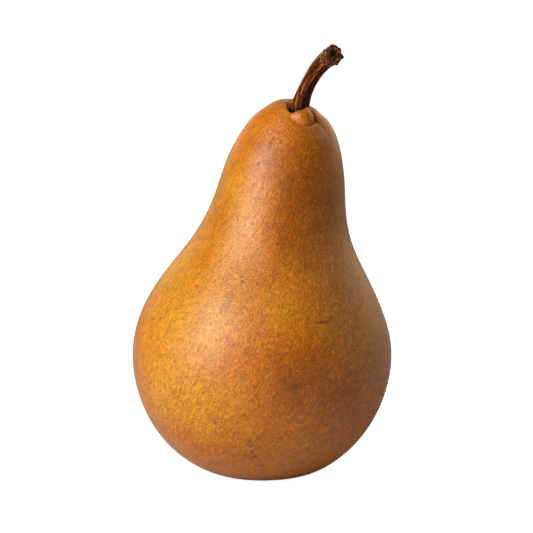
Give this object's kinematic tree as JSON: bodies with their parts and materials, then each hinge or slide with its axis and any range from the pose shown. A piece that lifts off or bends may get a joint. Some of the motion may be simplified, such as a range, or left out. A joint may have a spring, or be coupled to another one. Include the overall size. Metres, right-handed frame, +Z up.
{
  "type": "pear",
  "caption": "Whole ripe pear with a round belly, long leaning neck, brown russet skin and a bent woody stem, standing on the ring round its flower end.",
  "frame": {"origin": "on the supporting surface, under the middle of the belly", "axes": "+Z up from the flower end to the stem, +X towards the side that the neck and the stem lean to, -Y towards the viewer of the picture"},
  "size_m": [0.0721, 0.0716, 0.1206],
  "materials": {
    "skin": "satin russet pear skin, golden brown with fine grain and small dark marks",
    "stem_wood": "rough dark woody stem with lengthwise ridges and a blackish lumpy end",
    "dry_calyx": "dry dull brown-black sepals"
  },
  "bodies": {
    "root": {"fruit": "skin", "stem": "stem_wood", "calyx": "dry_calyx"}
  },
  "joints": []
}
